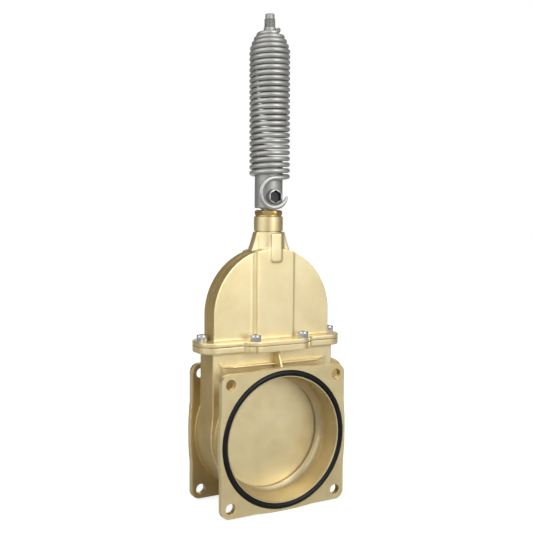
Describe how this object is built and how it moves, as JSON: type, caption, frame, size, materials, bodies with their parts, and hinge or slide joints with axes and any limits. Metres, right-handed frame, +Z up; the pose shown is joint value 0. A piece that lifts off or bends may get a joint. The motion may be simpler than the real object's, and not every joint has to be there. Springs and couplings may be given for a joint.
{
  "type": "gate valve",
  "caption": "Vacuum tanker gate valve: square-flanged cast body, arched bonnet, lifting gate, and a coil spring with a threaded stud on the stem.",
  "frame": {"origin": "centre of the front flange's mating face, on the axis of the bore", "axes": "+Y along the bore towards the rear flange, +Z up along the stem, +X to the right when the front flange is seen face on"},
  "size_m": [0.2068, 0.0946, 0.6141],
  "materials": {
    "cast_brass": "sand cast, pale",
    "machined_brass": "machined",
    "bronze": "machined",
    "steel": "satin",
    "spring_steel": "bright drawn wire",
    "screw_steel": "zinc plated",
    "rubber": "matt",
    "gasket": "matt fibre sheet",
    "packing": "woven yarn"
  },
  "bodies": {
    "valve": {"body": "cast_brass", "bonnet": "cast_brass", "bonnet_gasket": "gasket", "gate_seal": "rubber", "front_o_ring": "rubber", "rear_o_ring": "rubber", "stem_bush": "bronze", "packing_ring_lower": "packing", "packing_ring_middle": "packing", "packing_ring_upper": "packing", "gland_follower": "bronze", "gland_nut": "machined_brass", "stem_wiper": "rubber", "bonnet_screws": "screw_steel"},
    "gate": {"gate": "cast_brass"},
    "stem": {"stem": "steel", "spring_block": "steel", "hook_bolt": "screw_steel", "spring": "spring_steel"},
    "stud": {"stud": "steel", "stud_washer": "steel", "stud_nut": "steel"}
  },
  "joints": [
    {"name": "gate_lift", "type": "slide", "parent": "valve", "child": "gate", "axis": [0, 0, 1], "range_m": [0, 0.145]},
    {"name": "stem_turn", "type": "hinge", "parent": "gate", "child": "stem", "pos_m": [0, 0.0455, 0.0862], "axis": [0, 0, 1], "continuous": true},
    {"name": "spring_stretch", "type": "slide", "parent": "stem", "child": "stud", "axis": [0, 0, 1], "range_m": [0, 0.03], "stiffness_N_per_m": 5600, "deforming": ["spring"]}
  ]
}
